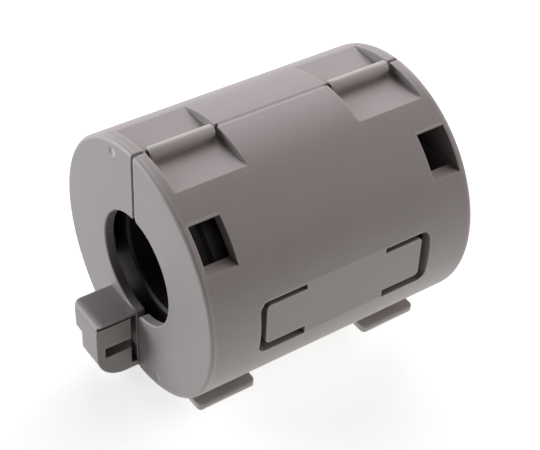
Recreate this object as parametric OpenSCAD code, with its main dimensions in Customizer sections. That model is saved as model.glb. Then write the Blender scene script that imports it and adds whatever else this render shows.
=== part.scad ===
// Clip-on ferrite bead: a round plastic case in two hinged halves that closes
// over a cable and holds a split ferrite core round it.
//
// The origin is the centre of the cable bore, halfway along the case. +Y runs
// along the bore to the plain end, -Y to the end with the cable tie lug, +Z to
// the two film hinges and -Z to the two snap latches. The halves part at x = 0:
// the left half (-X) carries the lug and the latch straps, and the right half
// (+X) swings open about an axis along Y at the very top of the case.

/* [Core] */
// Hole for the cable
bore_d = 13; // [11:0.5:14]
// Outside diameter of the ferrite core
core_d = 25.8; // [25:0.2:28]
// Length of the ferrite core
core_l = 28.5; // [27:0.1:32]
// Air gap between the ground faces of the two core halves
core_gap = 0.04; // [0.02:0.01:0.1]
// Chamfer at both ends of the bore
bore_chamfer = 0.3; // [0.2:0.1:1.2]
// Chamfer along the outer edges of each core half
core_chamfer = 0.8; // [0.5:0.1:1]
// Chamfer round the outside of both core ends
core_rim_chamfer = 0.4; // [0.2:0.1:0.6]

/* [Case] */
// Thickness of the round wall
case_wall = 1.4; // [1.3:0.05:1.7]
// Thickness of the end walls
end_wall = 1.1; // [1:0.05:1.5]
// Height of the ribs that hold the core off the wall
rib_h = 0.6; // [0.5:0.05:0.8]
// Width of the ribs
rib_w = 1; // [0.8:0.1:1.4]
// Clearance round the core
core_fit = 0.1; // [0.05:0.01:0.15]
// Length of the stops that hold the core off the end walls
stop_l = 1.5; // [1:0.1:2]
// Clearance between the core and the stops at each end
core_end_fit = 0.15; // [0.1:0.05:0.4]
// Clearance between the bore of the core and the hole in the end wall
hole_fit = 0.1; // [0:0.05:0.3]
// Gap between the two halves
split_gap = 0.45; // [0.3:0.05:0.5]
// Radius of the rounded rims at both ends
rim_r = 0.45; // [0.2:0.05:0.8]
// Radius of the edge of the cable hole
hole_edge_r = 0.2; // [0.1:0.05:0.3]
// Radius of the right half's corners beside the cable hole
hole_corner_r = 0.9; // [0.4:0.1:1.2]
// Radius of the left half's upper corner beside the cable hole
hole_corner_left_r = 0.4; // [0.2:0.1:0.8]
// Clearance between the seam lip, on the left half's top, and the right half
seam_fit = 0.05; // [0.03:0.01:0.08]
// Drop of the seam lip's free edge below the case's outline
lip_drop = 0.06; // [0.03:0.01:0.1]
// Distance that the seam lip stops short of the hinge recesses
lip_short = 0.3; // [0:0.1:1]

/* [Hinges] */
// Length of the flat recess round a hinge or a latch
recess_l = 8.5; // [7.5:0.1:9]
// Full-height strip left between a recess and the end face
rim_strip = 1.45; // [1.2:0.05:2]
// Wall left under a recess
recess_floor = 0.75; // [0.65:0.05:0.9]
// Outer radius of the hinge loop
loop_r = 0.75; // [0.65:0.01:0.85]
// Thickness of the hinge film
film_t = 0.35; // [0.25:0.05:0.4]
// Distance from the split to the outside of a loop's foot
foot_x = 0.55; // [0.5:0.01:0.6]
// Gap between a hinge loop and each end of its recess
loop_end_fit = 0.45; // [0.3:0.05:1]

/* [Latches] */
// Width of a latch strap
strap_w = 7.4; // [6.6:0.1:7.6]
// Thickness of a latch strap
strap_t = 0.8; // [0.7:0.05:0.9]
// Distance from the split to the free end of a strap
strap_reach = 9.75; // [8.5:0.05:11]
// Radius of the corners at the free end
strap_corner_r = 0.8; // [0.4:0.1:1.5]
// Radius of the long edge at the free end
strap_tip_r = 0.34; // [0.1:0.02:0.34]
// Clearance between a strap and the flat it lies on
strap_fit = 0.05; // [0.02:0.01:0.08]
// Distance from the split to the catch
catch_x = 2.4; // [1.8:0.1:2.8]
// Length of the catch across the strap
catch_l = 1.8; // [1.4:0.1:2.2]
// Width of the catch
catch_w = 3.6; // [2.8:0.1:4.2]
// Length of the flat on top of the catch
catch_land = 0.5; // [0.3:0.1:0.8]
// Clearance between the catch and its slot on the loaded side
latch_fit = 0.1; // [0.05:0.01:0.2]
// Clearance round the rest of the catch
slot_fit = 0.3; // [0.2:0.05:0.4]

/* [Windows] */
// Length of a window along the case
window_l = 3.65; // [3:0.05:4.2]
// Height of a window
window_h = 3.94; // [3.5:0.02:4.1]
// Height of the middle of a window above the axis
window_z = 9.92; // [9.7:0.02:10]
// Wall left between a window and the end face
window_rim = 0.88; // [0.8:0.02:1.2]

/* [Spring plates] */
// Length of a spring plate with the slots at both ends
plate_l = 22.1; // [20:0.1:23]
// Width of a spring plate with its slots
plate_w = 6.98; // [6.6:0.02:7.4]
// Depth of the flat on a spring plate
plate_flat = 0.42; // [0.3:0.02:0.5]
// Length of the middle that joins a plate to the wall
plate_bridge = 10.2; // [8:0.2:12]
// Mean width of the slots along the plate
slot_side = 0.87; // [0.7:0.01:1]
// Width of the slots at the ends of the plate
slot_end = 0.97; // [0.6:0.01:1.1]
// Drop of the slots' outline, which makes the lower slots wider than the upper
slot_drop = 0.17; // [0:0.01:0.25]
// Outer corner radius of the slots
slot_corner_r = 1.1; // [0.8:0.05:1.5]
// Corner radius of the tongues
tongue_corner_r = 0.5; // [0.3:0.05:0.8]
// Diameter of the pads that press on the core
pad_d = 2.4; // [1.8:0.1:3]
// Distance from the end of a tongue to the middle of its pad
pad_inset = 1.8; // [1.6:0.1:2.4]
// Clearance between a pad and the core
pad_fit = 0.03; // [0.02:0.01:0.06]

/* [Tie lug] */
// Distance that the lug stands out from the end face
lug_reach = 5; // [4.5:0.1:6]
// Width of the saddle under the cable
saddle_w = 5.4; // [4.8:0.1:5.6]
// Thickness of the saddle
saddle_t = 3.1; // [2.8:0.1:3.4]
// Width of the stem below the saddle
stem_w = 4.1; // [3.4:0.1:4.4]
// Distance that the lug ends inside the outline of the case
lug_inset = 0.3; // [0.2:0.05:0.6]
// Radius of the rounded nose at the foot of the lug
nose_r = 3.4; // [2.8:0.1:3.6]
// Radius of the edge at the front of the saddle
saddle_r = 1; // [0.6:0.1:1.3]
// Radius of the upright edge of the lug
lug_edge_r = 0.8; // [0.4:0.1:1.1]
// Height of the cable tie slot
tie_h = 1.4; // [1.2:0.1:1.6]
// Width of the cable tie slot
tie_w = 3.8; // [3.4:0.1:4]
// Depth of the cable tie slot below the saddle's top
tie_drop = 3.5; // [3.2:0.1:3.8]
// Wall between the cable tie slot and the end face of the case
tie_back = 0.2; // [0.1:0.05:0.4]
// Thickness of the saddle's edge over its groove
brim_t = 0.2; // [0.15:0.05:0.4]
// Height of the groove under the saddle's edge
groove_h = 0.3; // [0.2:0.05:0.4]
// Depth of the groove under the saddle's edge
groove_d = 0.25; // [0.15:0.05:0.4]
// Width of the relief beside the lug
relief_w = 0.75; // [0.4:0.05:0.9]
// Depth of the relief beside the lug
relief_d = 1.2; // [0.5:0.1:1.5]
// Foot left below the relief
relief_foot = 0.8; // [0.5:0.1:1.2]

/* [Moulding marks] */
// Diameter of the gate dimples in the end face
dimple_d = 1.3; // [1:0.1:1.6]
// Depth of the gate dimples
dimple_depth = 0.2; // [0.1:0.02:0.25]
// Distance from a gate dimple to the split
dimple_x = 4.05; // [3.5:0.05:5]
// Distance from a gate dimple to the case's outline
dimple_inset = 1.4; // [1.3:0.1:2]

/* [Hidden] */

$fn = 64;
over = 1;                                  // how far a cutter runs past what it cuts
sink = 0.1;                                // how far a rib or pad is set into its wall
plastic = [0.62, 0.60, 0.60];
ferrite = [0.10, 0.10, 0.09];

bore_r = bore_d / 2;
core_r = core_d / 2;
hole_r = bore_r + hole_fit;
nest_r = core_r + core_fit;                // inner faces of the ribs
cavity_r = nest_r + rib_h;
case_r = cavity_r + case_wall;
nest_l = core_l + 2 * core_end_fit;        // length between the stops
cavity_l = nest_l + 2 * stop_l;
case_l = cavity_l + 2 * end_wall;
half_gap = split_gap / 2;

floor_z = nest_r + recess_floor;           // height of a recess floor above the axis
recess_end = case_l / 2 - rim_strip;
recess_y = recess_end - recess_l / 2;      // middle of a recess
loop_z = floor_z + loop_r;                 // middle of a hinge loop
loop_l = recess_l - 2 * loop_end_fit;

strap_top = -(floor_z + strap_fit);
strap_bottom = strap_top - strap_t;
strap_root = -sqrt(pow(case_r, 2) - pow(strap_bottom, 2));
catch_h = strap_t + strap_fit - 0.1;

window_y = case_l / 2 - window_rim - window_l / 2;
window_x = sqrt(pow(nest_r, 2) - pow(window_z + window_h / 2, 2));

tongue_l = plate_l - 2 * slot_end;
tongue_w = plate_w - 2 * slot_side;
pad_y = tongue_l / 2 - pad_inset;

middle_l = 2 * (recess_end - recess_l);    // full-height wall between the recesses
lip_l = middle_l - 2;                      // retaining lips, clear of the recesses
stop_r = (bore_r + core_r) / 2;            // inner ends of the stops
lip_z = core_r - core_chamfer - core_gap / 2 + core_fit * sqrt(2);

lug_top = -hole_r;
lug_bottom = -(case_r - lug_inset);
lug_front = case_l / 2 + lug_reach;
dimple_z = sqrt(pow(case_r - dimple_inset, 2) - pow(dimple_x, 2));
dimple_r = (pow(dimple_d / 2, 2) + pow(dimple_depth, 2)) / (2 * dimple_depth);

// Runs an outline drawn in X and Z along Y, over length l
module along_y(l) rotate([90, 0, 0]) linear_extrude(l, center = true) children();

// Runs an outline drawn in Y and Z along X, from x to x + l
module along_x(x, l) translate([x, 0, 0]) rotate([90, 0, 90]) linear_extrude(l) children();

// Turns an outline drawn in radius and length about the cable axis
module about_y() rotate([90, 0, 0]) rotate_extrude() children();

// Everything on one side of the split, starting at the given gap
module side_space(gap, reach = case_r + over) {
    translate([gap, -lug_front - over, -reach]) cube([reach, 2 * (lug_front + over), 2 * reach]);
}

// Rectangle centred on the origin with round corners
module round_rect(l, w, r) {
    square([l - 2 * r, w], center = true);
    square([l, w - 2 * r], center = true);
    for (x = [-1, 1], y = [-1, 1])
        translate([x * (l / 2 - r), y * (w / 2 - r)]) circle(r);
}

// The closed case as one solid drum with rounded rims
module drum() {
    about_y() {
        translate([0, -case_l / 2]) square([case_r - rim_r, case_l]);
        translate([0, rim_r - case_l / 2]) square([case_r, case_l - 2 * rim_r]);
        for (end = [-1, 1])
            translate([case_r - rim_r, end * (case_l / 2 - rim_r)]) circle(rim_r);
    }
}

// The cable hole through both end walls, with its rounded edges
module cable_hole() {
    about_y() {
        translate([0, -case_l]) square([hole_r, 2 * case_l]);
        for (end = [0, 1]) mirror([0, end]) difference() {
            translate([0, case_l / 2 - hole_edge_r]) square([hole_r + hole_edge_r, hole_edge_r + over]);
            translate([hole_r + hole_edge_r, case_l / 2 - hole_edge_r]) circle(hole_edge_r);
        }
    }
}

// The room inside the case. It stays under the floors of the recesses
module cavity() {
    difference() {
        rotate([90, 0, 0]) cylinder(h = cavity_l, r = cavity_r, center = true);
        for (end = [-1, 1], side = [-1, 1])
            translate([0, end * (recess_y + over), side * (nest_r + case_r) / 2])
                cube([2 * case_r, recess_l + 3 * over, case_r - nest_r], center = true);
    }
}

// Flat recess in the outline: side is 1 for the hinges and -1 for the latches
module recesses(side, reach) {
    for (end = [-1, 1])
        translate([0, end * recess_y - recess_l / 2, side > 0 ? floor_z : -floor_z - case_r])
            cube([reach, recess_l, case_r]);
}

// Windows cut sideways through the wall near both ends
module windows() {
    for (end = [-1, 1])
        translate([window_x, end * window_y - window_l / 2, window_z - window_h / 2])
            cube([case_r, window_l, window_h]);
}

// The flat of a spring plate and the two slots that free its tongues
module plate_cut() {
    translate([case_r - plate_flat, -(plate_l - slot_end) / 2, -case_r])
        cube([case_r, plate_l - slot_end, 2 * case_r]);
    along_x(nest_r / 2, case_r) difference() {
        translate([0, -slot_drop]) round_rect(plate_l, plate_w, slot_corner_r);
        round_rect(tongue_l, tongue_w, tongue_corner_r);
        square([plate_bridge, plate_w + 2 * over], center = true);
    }
}

// Ribs that carry the core and run on as stops at both its ends, pads that press
// it against its twin, and lips that hook over the chamfers of its outer edges
module core_holders() {
    intersection() {
        difference() {
            rotate([90, 0, 0]) cylinder(h = cavity_l + 2 * sink, r = cavity_r + sink, center = true);
            rotate([90, 0, 0]) cylinder(h = nest_l, r = nest_r, center = true);
            rotate([90, 0, 0]) cylinder(h = case_l, r = stop_r, center = true);
        }
        for (angle = [-70, -22, 22, 70]) rotate([0, -angle, 0])
            translate([0, -case_l / 2, -rib_w / 2]) cube([case_r, case_l, rib_w]);
    }
    for (end = [-1, 1]) translate([core_r + pad_fit, end * pad_y, 0])
        rotate([0, 90, 0]) cylinder(h = cavity_r + sink - core_r - pad_fit, d = pad_d);
    for (side = [0, 1]) mirror([0, 0, side]) along_y(lip_l)
        polygon([[half_gap, lip_z + half_gap], [core_chamfer, lip_z + core_chamfer],
                 [core_chamfer, cavity_r + sink], [half_gap, cavity_r + sink]]);
}

// What both halves share, drawn on the right. The latch recess runs to latch_reach
module half_shell(latch_reach) {
    difference() {
        intersection() {
            drum();
            side_space(half_gap);
        }
        cavity();
        cable_hole();
        plate_cut();
        recesses(1, case_r);
        recesses(-1, latch_reach);
    }
    core_holders();
}

// Shallow dimple left by a gate in the front end face
module gate_dimple(x, z) {
    translate([x, dimple_depth - dimple_r - case_l / 2, z]) sphere(dimple_r);
}

// Lip on the left half that covers the split between the two hinges. Its top
// slopes down from the case's outline to a free edge beside the right half
module seam_lip() {
    root = -half_gap - sink;
    edge = half_gap - seam_fit;
    along_y(middle_l - 2 * lip_short)
        polygon([[root, cavity_r], [root, case_r - lip_drop / 2], [-half_gap, case_r - lip_drop / 4],
                 [edge, case_r - lip_drop], [edge, cavity_r]]);
}

// Lug under the cable at the front: a flat saddle on a stem with a rounded
// nose, and a slot across for the cable tie
module tie_lug() {
    height = lug_top - lug_bottom;
    depth = lug_reach + end_wall / 2;
    front = -lug_front;
    difference() {
        intersection() {
            along_x(-saddle_w - half_gap, saddle_w) translate([front, lug_bottom]) {
                translate([nose_r, 0]) square([depth - nose_r, height]);
                translate([saddle_r, nose_r]) square([depth - saddle_r, height - nose_r]);
                translate([0, nose_r]) square([depth, height - nose_r - saddle_r]);
                translate([nose_r, nose_r]) circle(nose_r);
                translate([saddle_r, height - saddle_r]) circle(saddle_r);
            }
            union() {
                lug_plan(saddle_w, lug_top - saddle_t, saddle_t);
                lug_plan(stem_w, lug_bottom, height);
            }
        }
        along_x(-saddle_w - over, saddle_w + 2 * over)
            translate([-case_l / 2 - tie_back - tie_w, lug_top - tie_drop - tie_h]) square([tie_w, tie_h]);
        translate([-half_gap - relief_d, -case_l / 2 - relief_w, lug_bottom + relief_foot])
            cube([relief_d + over, relief_w, height - relief_foot - brim_t]);
        translate([-half_gap - groove_d, front - over, lug_top - brim_t - groove_h])
            cube([groove_d + over, lug_reach + over, groove_h]);
    }
}

// Upright block of the lug's plan, with its outer front edge rounded
module lug_plan(w, z, h) {
    translate([-half_gap - w, -lug_front, z]) linear_extrude(h) {
        translate([lug_edge_r, 0]) square([w - lug_edge_r, lug_reach + end_wall]);
        translate([0, lug_edge_r]) square([w, lug_reach + end_wall - lug_edge_r]);
        translate([lug_edge_r, lug_edge_r]) circle(lug_edge_r);
    }
}

// Wedge on the right half that snaps into the slot of a strap
module latch_catch() {
    along_y(catch_w) polygon([[catch_x, -floor_z + sink], [catch_x, -floor_z],
                              [catch_x + catch_l - catch_land, -floor_z - catch_h],
                              [catch_x + catch_l, -floor_z - catch_h],
                              [catch_x + catch_l, -floor_z + sink]]);
}

// Cutter that rounds the right half's upper corner beside the cable hole to radius r
module hole_corner(r) {
    corner_x = half_gap + r;
    corner_z = sqrt(pow(hole_r + r, 2) - pow(corner_x, 2));
    touch = hole_r / (hole_r + r);
    along_y(case_l + over) difference() {
        polygon([[0, hole_r / 2], [0, corner_z], [corner_x, corner_z],
                 [corner_x * touch, corner_z * touch], [corner_x / 2, hole_r / 2]]);
        translate([corner_x, corner_z]) circle(r);
    }
}

module case_half_left() color(plastic) {
    difference() {
        union() {
            mirror([1, 0, 0]) half_shell(-strap_root);
            seam_lip();
            tie_lug();
        }
        mirror([1, 0, 0]) hole_corner(hole_corner_left_r);
        rotate([0, 180, 0]) windows();
        gate_dimple(-dimple_x, dimple_z);
    }
}

module case_half_right() color(plastic) {
    difference() {
        half_shell(case_r);
        windows();
        gate_dimple(dimple_x, -dimple_z);
        for (side = [0, 1]) mirror([0, 0, side]) hole_corner(hole_corner_r);
    }
    for (end = [-1, 1]) translate([0, end * recess_y, 0]) latch_catch();
}

// Half ring of ferrite, ground flat where it meets its twin
module core_half() {
    difference() {
        about_y() polygon([
            [bore_r + bore_chamfer, -core_l / 2], [core_r - core_rim_chamfer, -core_l / 2],
            [core_r, core_rim_chamfer - core_l / 2], [core_r, core_l / 2 - core_rim_chamfer],
            [core_r - core_rim_chamfer, core_l / 2], [bore_r + bore_chamfer, core_l / 2],
            [bore_r, core_l / 2 - bore_chamfer], [bore_r, bore_chamfer - core_l / 2]]);
        rotate([0, 180, 0]) side_space(-core_gap / 2);
        for (side = [0, 1]) mirror([0, 0, side]) along_y(core_l + over)
            polygon([[0, core_r - core_chamfer - core_gap / 2], [0, core_r + over],
                     [core_chamfer + over + core_gap / 2, core_r + over]]);
    }
}

module core_half_left() color(ferrite) mirror([1, 0, 0]) core_half();

module core_half_right() color(ferrite) core_half();

// Thin film folded up into a loop over the split, with a foot on each recess floor
module film_hinge(end) {
    translate([0, end * recess_y, loop_z]) along_y(loop_l) difference() {
        union() {
            circle(loop_r);
            translate([-foot_x, -loop_r]) square([2 * foot_x, loop_r]);
        }
        circle(loop_r - film_t);
        translate([-half_gap, -loop_r - over]) square([split_gap, loop_r + over]);
    }
}

module film_hinge_front() color(plastic) film_hinge(-1);

module film_hinge_rear() color(plastic) film_hinge(1);

// Flat arm that leaves the left half at a tangent, hooks over the catch of the
// right half and ends in a tab for a fingernail
module latch_strap(end) {
    slot_x = catch_x - slot_fit;
    translate([0, end * recess_y, 0]) difference() {
        intersection() {
            translate([0, 0, strap_bottom]) linear_extrude(strap_t) {
                translate([strap_root, -strap_w / 2])
                    square([strap_reach - strap_corner_r - strap_root, strap_w]);
                translate([0, strap_corner_r - strap_w / 2])
                    square([strap_reach, strap_w - 2 * strap_corner_r]);
                for (side = [-1, 1])
                    translate([strap_reach - strap_corner_r, side * (strap_w / 2 - strap_corner_r)])
                        circle(strap_corner_r);
            }
            along_y(strap_w + over) {
                translate([strap_root - over, strap_bottom])
                    square([strap_reach + over - strap_tip_r - strap_root, strap_t]);
                translate([0, strap_bottom + strap_tip_r])
                    square([strap_reach, strap_t - 2 * strap_tip_r]);
                for (z = [strap_bottom + strap_tip_r, strap_top - strap_tip_r])
                    translate([strap_reach - strap_tip_r, z]) circle(strap_tip_r);
            }
        }
        translate([slot_x, -catch_w / 2 - slot_fit, strap_bottom - over])
            cube([catch_x + catch_l + latch_fit - slot_x, catch_w + 2 * slot_fit, strap_t + 2 * over]);
    }
}

module latch_strap_front() color(plastic) latch_strap(-1);

module latch_strap_rear() color(plastic) latch_strap(1);

case_half_left();
case_half_right();
core_half_left();
core_half_right();
film_hinge_front();
film_hinge_rear();
latch_strap_front();
latch_strap_rear();
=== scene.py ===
import bpy
import numpy as np
from mathutils import Matrix, Vector


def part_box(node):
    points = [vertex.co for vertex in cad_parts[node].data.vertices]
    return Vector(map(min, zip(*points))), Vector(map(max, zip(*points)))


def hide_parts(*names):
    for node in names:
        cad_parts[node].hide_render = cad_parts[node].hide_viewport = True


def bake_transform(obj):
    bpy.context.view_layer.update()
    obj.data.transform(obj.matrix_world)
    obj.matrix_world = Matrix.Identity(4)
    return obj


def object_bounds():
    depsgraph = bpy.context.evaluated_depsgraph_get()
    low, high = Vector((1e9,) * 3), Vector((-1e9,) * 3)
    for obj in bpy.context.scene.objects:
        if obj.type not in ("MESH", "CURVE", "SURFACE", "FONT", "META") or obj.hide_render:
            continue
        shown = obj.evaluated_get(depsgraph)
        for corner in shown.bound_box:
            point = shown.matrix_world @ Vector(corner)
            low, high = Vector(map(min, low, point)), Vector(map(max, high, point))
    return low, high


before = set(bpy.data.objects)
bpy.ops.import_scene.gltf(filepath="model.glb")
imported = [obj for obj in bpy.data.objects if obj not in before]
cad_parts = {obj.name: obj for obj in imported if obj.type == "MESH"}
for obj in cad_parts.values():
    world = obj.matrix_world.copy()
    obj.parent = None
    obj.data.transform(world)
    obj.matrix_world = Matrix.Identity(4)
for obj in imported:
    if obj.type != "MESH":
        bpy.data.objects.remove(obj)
cad_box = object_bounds()

# ---------------------------------------------------------------------------
# Core halves
# Two half rings of sintered ferrite, pressed from powder, fired and ground
# flat where they meet. They drop into the case halves.
# ---------------------------------------------------------------------------

MM = 0.001
PRESS_STREAK = 0.08  # how much the streaks' pattern is drawn out along the bore


def colour(hex_code):
    """An sRGB hex value as a linear RGBA colour."""
    srgb = np.array([int(hex_code[i:i + 2], 16) for i in (1, 3, 5)]) / 255
    linear = np.where(srgb <= 0.04045, srgb / 12.92, ((srgb + 0.055) / 1.055) ** 2.4)
    return (*linear, 1)


def add(tree, kind, settings=None, **links):
    """Adds a node. Settings are its attributes or, by name or number, its inputs.
    Links feed its inputs."""
    node = tree.nodes.new("ShaderNode" + kind)
    for name, value in (settings or {}).items():
        if isinstance(name, int) or name in node.inputs:
            node.inputs[name].default_value = value
        else:
            setattr(node, name, value)
    for name, output in links.items():
        socket = node.inputs[int(name[1:]) if name[1:].isdigit() else name.replace("_", " ")]
        tree.links.new(output, socket)
    return node


def blank_material(name):
    """An empty material and its node tree, with nothing but the output node."""
    material = bpy.data.materials.new(name)
    material.use_nodes = True
    tree = material.node_tree
    tree.nodes.clear()
    return material, tree, add(tree, "OutputMaterial")


def paint(piece, material):
    """Puts one material on the whole piece."""
    piece.data.materials.clear()
    piece.data.materials.append(material)


# Sintered ferrite: a fine-grained, near-black ceramic. Tumbling leaves a dull
# skin, and the press leaves faint streaks along the bore.
ferrite, tree, out = blank_material("sintered_ferrite")
place = add(tree, "TexCoord")
grain = add(tree, "TexNoise", {"Scale": 1 / (0.25 * MM), "Detail": 6},
            Vector=place.outputs["Object"])
stretched = add(tree, "Mapping", {"Scale": (1, PRESS_STREAK, 1)}, Vector=place.outputs["Object"])
streaks = add(tree, "TexNoise", {"Scale": 1 / (0.6 * MM), "Detail": 3},
              Vector=stretched.outputs["Vector"])
tone = add(tree, "ValToRGB", Fac=streaks.outputs["Fac"])
tone.color_ramp.elements[0].position = 0.35
tone.color_ramp.elements[0].color = colour("#1d1a16")
tone.color_ramp.elements[1].position = 0.7
tone.color_ramp.elements[1].color = colour("#2a2721")
sheen = add(tree, "MapRange", {"To Min": 0.45, "To Max": 0.62}, Value=streaks.outputs["Fac"])
relief = add(tree, "Bump", {"Strength": 0.25, "Distance": 0.01 * MM}, Height=grain.outputs["Fac"])
shader = add(tree, "BsdfPrincipled", {"IOR": 1.6, "Specular IOR Level": 0.18},
             Base_Color=tone.outputs["Color"], Roughness=sheen.outputs["Result"],
             Normal=relief.outputs["Normal"])
tree.links.new(shader.outputs["BSDF"], out.inputs["Surface"])

for name in ("core_half_left", "core_half_right"):
    paint(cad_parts[name], ferrite)

# ---------------------------------------------------------------------------
# Case halves
# Two shells moulded in one shot with their hinges and straps, in warm grey
# nylon from a finely spark-eroded tool, which leaves a dull satin skin.
# ---------------------------------------------------------------------------

GATE_X = 4.05 * MM
GATE_Z = 12.98 * MM
EDGE_HIGHLIGHT = 0.5  # how far a painted highlight on the edges and along the seam goes over to the pale tone
# how far the painted highlight on the rounded rims goes over to the pale tone
RIM_HIGHLIGHT = 0.34
RIM_INSET = 0.2 * MM
SEAM_X = 0.225 * MM
SEAM_Z = 14.6 * MM


def gate_marks(tree, place):
    """A number from 1 in the middle of either gate mark on the front end to 0 away from them."""
    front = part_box("case_half_right")[0][1]
    gaps = [add(tree, "VectorMath",
                {"operation": "DISTANCE", 1: (side * GATE_X, front, -side * GATE_Z)},
                _0=place.outputs["Object"]) for side in (-1, 1)]
    nearest = add(tree, "Math", {"operation": "MINIMUM"}, _0=gaps[0].outputs["Value"],
                  _1=gaps[1].outputs["Value"])
    return add(tree, "MapRange", {"From Min": 0.6 * MM, "From Max": 0.3 * MM},
               Value=nearest.outputs[0])


def rim_band(tree, place):
    """How strong the painted highlight on the rounded rims of both ends is: a number that falls
    to 0 away from them, from the distance to a point just inside the corner of the outline, with
    radius and height along Y as its axes."""
    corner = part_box("case_half_right")[1]
    middle = (corner[0], corner[1] - RIM_INSET, 0)
    split = add(tree, "SeparateXYZ", _0=place.outputs["Object"])
    across = add(tree, "VectorMath", {"operation": "MULTIPLY", 1: (1, 0, 1)},
                 _0=place.outputs["Object"])
    radius = add(tree, "VectorMath", {"operation": "LENGTH"}, _0=across.outputs["Vector"])
    height = add(tree, "Math", {"operation": "ABSOLUTE"}, _0=split.outputs["Y"])
    profile = add(tree, "CombineXYZ", _0=radius.outputs["Value"], _1=height.outputs[0])
    gap = add(tree, "VectorMath", {"operation": "DISTANCE", 1: middle},
              _0=profile.outputs["Vector"])
    return add(tree, "MapRange",
               {"From Min": 0.55 * MM, "From Max": 0.25 * MM, "To Max": RIM_HIGHLIGHT},
               Value=gap.outputs["Value"])


def seam_distance(tree, place):
    """The distance across to the edge of the right half along the seam on top, or a
    large number lower down."""
    split = add(tree, "SeparateXYZ", _0=place.outputs["Object"])
    across = add(tree, "Math", {"operation": "SUBTRACT", 1: SEAM_X}, _0=split.outputs["X"])
    beside = add(tree, "Math", {"operation": "ABSOLUTE"}, _0=across.outputs[0])
    low = add(tree, "Math", {"operation": "LESS_THAN", 1: SEAM_Z}, _0=split.outputs["Z"])
    return add(tree, "Math", {"operation": "ADD"}, _0=beside.outputs[0], _1=low.outputs[0])


def nylon(name, dark, light):
    """Dull satin nylon between two tones, with a painted highlight on its edges, its rims
    and along its seam, paler at its gate marks, and painted shade deep in its slots and hollows."""
    material, tree, out = blank_material(name)
    place = add(tree, "TexCoord")
    spark = add(tree, "TexNoise", {"Scale": 1 / (0.14 * MM), "Detail": 4, "Roughness": 0.6},
                Vector=place.outputs["Object"])
    flow = add(tree, "TexNoise", {"Scale": 1 / (6 * MM), "Detail": 3},
               Vector=place.outputs["Object"])
    tone = add(tree, "ValToRGB", Fac=flow.outputs["Fac"])
    tone.color_ramp.elements[0].position = 0.3
    tone.color_ramp.elements[0].color = colour(dark)
    tone.color_ramp.elements[1].position = 0.75
    tone.color_ramp.elements[1].color = colour(light)
    # Painted highlight: the colour goes over to a pale tone on convex edges, which ambient
    # occlusion inside the piece finds.
    inside = add(tree, "AmbientOcclusion",
                 {"inside": True, "only_local": True, "samples": 8, "Distance": 0.25 * MM})
    edges = add(tree, "MapRange", {"From Min": 0.97, "From Max": 0.55, "To Max": EDGE_HIGHLIGHT},
                Value=inside.outputs["AO"])
    edge_and_rim_highlight = add(tree, "Math", {"operation": "MAXIMUM"}, _0=edges.outputs["Result"],
                 _1=rim_band(tree, place).outputs["Result"])
    seam = seam_distance(tree, place)
    # Painted highlight: a pale line along the seam on top.
    line = add(tree, "MapRange", {"From Min": 0.25 * MM, "From Max": 0.1 * MM, "To Max": EDGE_HIGHLIGHT},
               Value=seam.outputs[0])
    painted_highlight = add(tree, "Math", {"operation": "MAXIMUM"}, _0=edge_and_rim_highlight.outputs[0],
               _1=line.outputs["Result"])
    pale = add(tree, "Math", {"operation": "MAXIMUM"}, _0=painted_highlight.outputs[0],
               _1=gate_marks(tree, place).outputs["Result"])
    # The pale tone of the painted highlights, also used at the gate marks.
    highlighted_tone = add(tree, "Mix", {"data_type": "RGBA", 7: colour("#cfc9c8")}, _0=pale.outputs[0],
                _6=tone.outputs["Color"])
    # Painted shade: the colour goes towards near black deep in slots and hollows, where ambient
    # occlusion finds little open air.
    open_air = add(tree, "AmbientOcclusion",
                   {"only_local": True, "samples": 8, "Distance": 2 * MM})
    painted_shade = add(tree, "MapRange", {"From Min": 0.56, "From Max": 0.34, "To Max": 0.7},
                Value=open_air.outputs["AO"])
    skin = add(tree, "Mix", {"data_type": "RGBA", 7: colour("#1f1b17")},
               _0=painted_shade.outputs["Result"], _6=highlighted_tone.outputs[2])
    sheen = add(tree, "MapRange", {"To Min": 0.4, "To Max": 0.52}, Value=flow.outputs["Fac"])
    soft = add(tree, "MapRange",
               {"From Min": 0.25 * MM, "From Max": 0.4 * MM, "To Min": 0.02 * MM,
                "To Max": 0.18 * MM}, Value=seam.outputs[0])
    edge = add(tree, "Bevel", {"samples": 8}, Radius=soft.outputs["Result"])
    relief = add(tree, "Bump", {"Strength": 0.3, "Distance": 0.008 * MM},
                 Height=spark.outputs["Fac"], Normal=edge.outputs["Normal"])
    shader = add(tree, "BsdfPrincipled", {"IOR": 1.53}, Base_Color=skin.outputs[2],
                 Roughness=sheen.outputs["Result"], Normal=relief.outputs["Normal"])
    tree.links.new(shader.outputs["BSDF"], out.inputs["Surface"])
    return material


moulded_nylon = nylon("moulded_nylon", "#9f9695", "#a59c9b")

for name in ("case_half_left", "case_half_right"):
    paint(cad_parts[name], moulded_nylon)

# ---------------------------------------------------------------------------
# Film hinges
# The same nylon, 0.35 mm thin and pale with bending, folded up into a loop over
# the split. Its colour is painted paler still, as painted light for the light that
# shines through the thin film. A loop opens out with the case.
# ---------------------------------------------------------------------------

LOOP_RADIUS = 0.75 * MM
FILM = 0.35 * MM
FOOT_REACH = 0.55 * MM
FOOT_GAP = 0.225 * MM
FILM_EDGE_RADIUS = 0.08 * MM
FILM_EDGE_ROWS = 5
SHARP_ANGLE = np.radians(40)


def arc(radius, first, last, count=48):
    """Points on a circle about the origin, from one angle to the other."""
    angle = np.linspace(first, last, count)
    return radius * np.stack([np.cos(angle), np.sin(angle)], axis=1)


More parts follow.
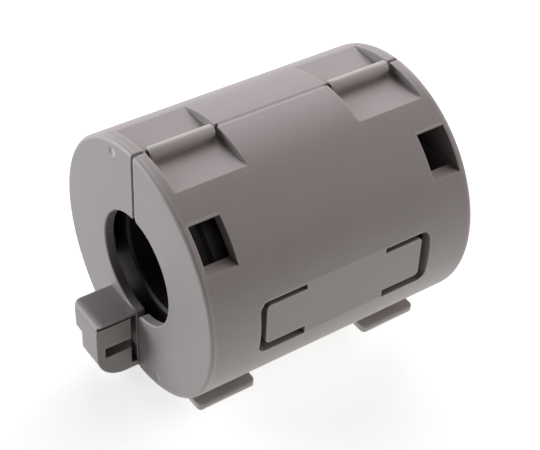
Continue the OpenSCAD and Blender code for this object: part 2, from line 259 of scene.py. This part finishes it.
def loop_outline():
    """A ring open at the bottom, with a square foot each side: outer arc, left foot,
    inner arc, right foot."""
    inner = LOOP_RADIUS - FILM
    foot_angle = np.arccos(FOOT_REACH / LOOP_RADIUS)
    gap_angle = np.arccos(FOOT_GAP / inner)
    left_foot = [(-FOOT_REACH, -LOOP_RADIUS), (-FOOT_GAP, -LOOP_RADIUS)]
    right_foot = [(FOOT_GAP, -LOOP_RADIUS), (FOOT_REACH, -LOOP_RADIUS)]
    return np.concatenate([arc(LOOP_RADIUS, -foot_angle, np.pi + foot_angle), left_foot,
                           arc(inner, np.pi + gap_angle, -gap_angle), right_foot])


def inward(outline):
    """The mitred inward direction at each corner: the sum of both edges' normals over
    one plus their product."""
    along = np.roll(outline, -1, axis=0) - outline
    along /= np.linalg.norm(along, axis=1, keepdims=True)
    after = np.stack([-along[:, 1], along[:, 0]], axis=1)
    before = np.roll(after, 1, axis=0)
    return (before + after) / (1 + np.sum(before * after, axis=1, keepdims=True))


def film_loop(name, low, high):
    """The loop's outline run along Y from low to high. Over the rounded ends the angle
    goes from 0 to 90 degrees while the outline shrinks by radius x (1 - sin) and stops
    short by radius x (1 - cos)."""
    outline = loop_outline()
    turn = np.linspace(0, np.pi / 2, FILM_EDGE_ROWS)
    shrink = FILM_EDGE_RADIUS * (1 - np.sin(turn))
    short = FILM_EDGE_RADIUS * (1 - np.cos(turn))
    inset = np.concatenate([shrink, shrink[::-1]])
    y = np.concatenate([low[1] + short, high[1] - short[::-1]])
    ring = outline + inset[:, None, None] * inward(outline)
    points = np.stack([ring[..., 0], np.broadcast_to(y[:, None], ring.shape[:2]),
                       ring[..., 1] + low[2] + LOOP_RADIUS], axis=-1)
    rows, columns = ring.shape[:2]
    grid = np.arange(rows * columns).reshape(rows, columns)
    beside = np.roll(grid, -1, axis=1)
    quads = np.stack([grid[:-1], grid[1:], beside[1:], beside[:-1]], axis=-1).reshape(-1, 4)
    mesh = bpy.data.meshes.new(name)
    mesh.from_pydata(points.reshape(-1, 3).tolist(), [],
                     quads.tolist() + [grid[0].tolist(), grid[-1][::-1].tolist()])
    mesh.polygons.foreach_set("use_smooth", np.ones(len(mesh.polygons), bool))
    mesh.set_sharp_from_angle(angle=SHARP_ANGLE)
    piece = bpy.data.objects.new(name, mesh)
    bpy.context.scene.collection.objects.link(piece)
    return piece


# Painted light: the film's nylon is painted paler than the case's, beyond its paleness from
# bending.
film_nylon_painted_light = nylon("film_nylon_painted_light", "#ccc5c3", "#d2cbc9")

for end in ("front", "rear"):
    low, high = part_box("film_hinge_" + end)
    loop = film_loop("film_loop_" + end, low, high)
    paint(loop, film_nylon_painted_light)
    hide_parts("film_hinge_" + end)
    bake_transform(loop)

# ---------------------------------------------------------------------------
# Latch straps
# Springy arms of the left half, moulded with it and 0.8 mm thin. Their nylon is
# painted paler than the case's, as painted light on them. They hook over the catches
# of the right half and end in tabs for a fingernail.
# ---------------------------------------------------------------------------

# Painted light: the straps' nylon is painted paler than the case's.
strap_nylon_painted_light = nylon("strap_nylon_painted_light", "#b9b2b1", "#bfb8b7")

for name in ("latch_strap_front", "latch_strap_rear"):
    paint(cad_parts[name], strap_nylon_painted_light)

# ---------------------------------------------------------------------------
# Floor, backdrop and lamps
# A white light table and three soft boxes round the bead, none of them on the
# camera's side. A patch of the table beside the bead gives off light and fills
# the shadows there. Far from the bead the table shows pure white.
# ---------------------------------------------------------------------------

FILL_MIDDLE = (29 * MM, 6 * MM, 0)
FILL_TINT = (0.9, 1, 0.93, 1)
FILL_STRONG = 0.58
FILL_WEAK = 0.06
SHOWN_NEAR = 0.7

card, tree, out = blank_material("white_card")
place = add(tree, "TexCoord")
reach = add(tree, "VectorMath", {"operation": "LENGTH"}, _0=place.outputs["Object"])
shown = add(tree, "MapRange",
            {"interpolation_type": "SMOOTHSTEP", "From Min": 60 * MM, "From Max": 300 * MM,
             "To Min": SHOWN_NEAR, "To Max": 1}, Value=reach.outputs["Value"])
rays = add(tree, "LightPath")
sheet = add(tree, "BsdfDiffuse", {"Color": colour("#e6e6e6")})
seen = add(tree, "Math", {"operation": "MAXIMUM"}, _0=rays.outputs["Is Camera Ray"],
           _1=rays.outputs["Is Glossy Ray"])
patch = add(tree, "VectorMath", {"operation": "DISTANCE", 1: FILL_MIDDLE},
            _0=place.outputs["Object"])
fill = add(tree, "MapRange",
           {"interpolation_type": "SMOOTHSTEP", "From Min": 24 * MM, "From Max": 50 * MM,
            "To Min": FILL_STRONG, "To Max": FILL_WEAK}, Value=patch.outputs["Value"])
level = add(tree, "MapRange", Value=seen.outputs[0], To_Min=fill.outputs[0],
            To_Max=shown.outputs[0])
tint = add(tree, "Mix", {"data_type": "RGBA", 6: FILL_TINT, 7: (1, 1, 1, 1)},
           _0=seen.outputs[0])
glow = add(tree, "Emission", Color=tint.outputs[2], Strength=level.outputs["Result"])
lit = add(tree, "AddShader", _0=sheet.outputs[0], _1=glow.outputs[0])
tree.links.new(lit.outputs[0], out.inputs["Surface"])

FLOOR_REACH = 1500 * MM
DISH_DEPTH = 2.3 * MM
DISH_REACH = 45 * MM
DISH_FLAT = 1.6  # radius of the level bottom of the dish, in lengths of a strap


def smooth_step(t):
    """A step from 0 to 1 with level ends: 3 t squared - 2 t cubed, with t held from 0 to 1."""
    t = np.clip(t, 0, 1)
    return t * t * (3 - 2 * t)


def dished_floor():
    """A grid with its lines crowded towards the middle: reach x t cubed. It lies flat,
    but for a shallow dish that leaves room for the straps, which dip below the bead
    when they are bent open. The dish is a smooth step down to the tips of the straps
    and a longer one up again."""
    lines = FLOOR_REACH * np.linspace(-1, 1, 161) ** 3
    x, y = np.meshgrid(lines, lines, indexing="ij")
    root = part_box("latch_strap_front")[0][0]
    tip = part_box("latch_strap_front")[1][0]
    down = smooth_step((x - root) / (tip - root))
    up = smooth_step((np.hypot(x - tip, y) - DISH_FLAT * (tip - root)) / DISH_REACH)
    z = cad_box[0][2] - DISH_DEPTH * down * (1 - up)
    grid = np.arange(x.size).reshape(x.shape)
    quads = np.stack([grid[:-1, :-1], grid[1:, :-1], grid[1:, 1:], grid[:-1, 1:]], axis=-1)
    mesh = bpy.data.meshes.new("floor")
    mesh.from_pydata(np.stack([x, y, z], axis=-1).reshape(-1, 3).tolist(), [],
                     quads.reshape(-1, 4).tolist())
    mesh.polygons.foreach_set("use_smooth", np.ones(len(mesh.polygons), bool))
    return mesh


floor = bpy.data.objects.new("floor", dished_floor())
bpy.context.scene.collection.objects.link(floor)
paint(floor, card)

# A white room, but for a grey wall on one side, which only gloss shows.
WALL_SIDE = (0.8, -0.54, 0.26)
world = bpy.data.worlds.new("white_room")
bpy.context.scene.world = world
world.use_nodes = True
tree = world.node_tree
tree.nodes.clear()
out = add(tree, "OutputWorld")
place = add(tree, "TexCoord")
toward = add(tree, "VectorMath", {"operation": "DOT_PRODUCT", 1: WALL_SIDE},
             _0=place.outputs["Generated"])
wall = add(tree, "MapRange", {"From Min": 0.1, "From Max": 0.8, "To Min": 1, "To Max": 0.25},
           Value=toward.outputs["Value"])
rays = add(tree, "LightPath")
mirrored = add(tree, "Math", {"operation": "MULTIPLY"}, _0=rays.outputs["Is Glossy Ray"],
               _1=wall.outputs["Result"])
direct = add(tree, "Math", {"operation": "MAXIMUM"}, _0=rays.outputs["Is Camera Ray"],
             _1=mirrored.outputs[0])
seen = add(tree, "Math", {"operation": "MAXIMUM"}, _0=direct.outputs[0],
           _1=rays.outputs["Is Transmission Ray"])
sky = add(tree, "Background", {"Color": (1, 1, 1, 1)}, Strength=seen.outputs[0])
tree.links.new(sky.outputs["Background"], out.inputs["Surface"])


LAMP_DISTANCE = 0.5


def soft_box(name, direction, size, watts, tint):
    """A square area lamp that faces the origin."""
    data = bpy.data.lights.new(name, "AREA")
    data.size = size
    data.energy = watts
    data.color = tint
    lamp = bpy.data.objects.new(name, data)
    lamp.location = Vector(direction).normalized() * LAMP_DISTANCE
    lamp.rotation_euler = lamp.location.to_track_quat("Z", "Y").to_euler()
    bpy.context.scene.collection.objects.link(lamp)


soft_box("front_left_box", (-0.69, -0.69, 0.21), 0.35, 2.35, (0.925, 0.985, 1))
soft_box("back_left_box", (-0.55, 0.55, 0.63), 0.45, 1.55, (1, 0.926, 0.965))
soft_box("back_right_box", (0.56, 0.56, 0.62), 0.45, 0.8, (1, 0.967, 0.94))

# ---------------------------------------------------------------------------
# Camera
# A long lens from the right and above the front end.
# ---------------------------------------------------------------------------

CAMERA_PLACE = Vector((95.74, -69.81, 98.05)) * MM

camera_data = bpy.data.cameras.new("camera")
camera_data.sensor_width = 36
camera_data.lens = 91.69
camera = bpy.data.objects.new("camera", camera_data)
right = Vector((0.5666, 0.8232, 0.0359)).normalized()
back = Vector((0.6173, -0.4530, 0.6432))
back = (back - back.dot(right) * right).normalized()
up = back.cross(right)
camera.matrix_world = Matrix.Translation(CAMERA_PLACE) @ Matrix(
    (right, up, back)).transposed().to_4x4()
bpy.context.scene.collection.objects.link(camera)
bpy.context.scene.camera = camera
bpy.context.scene.view_settings.view_transform = "Standard"
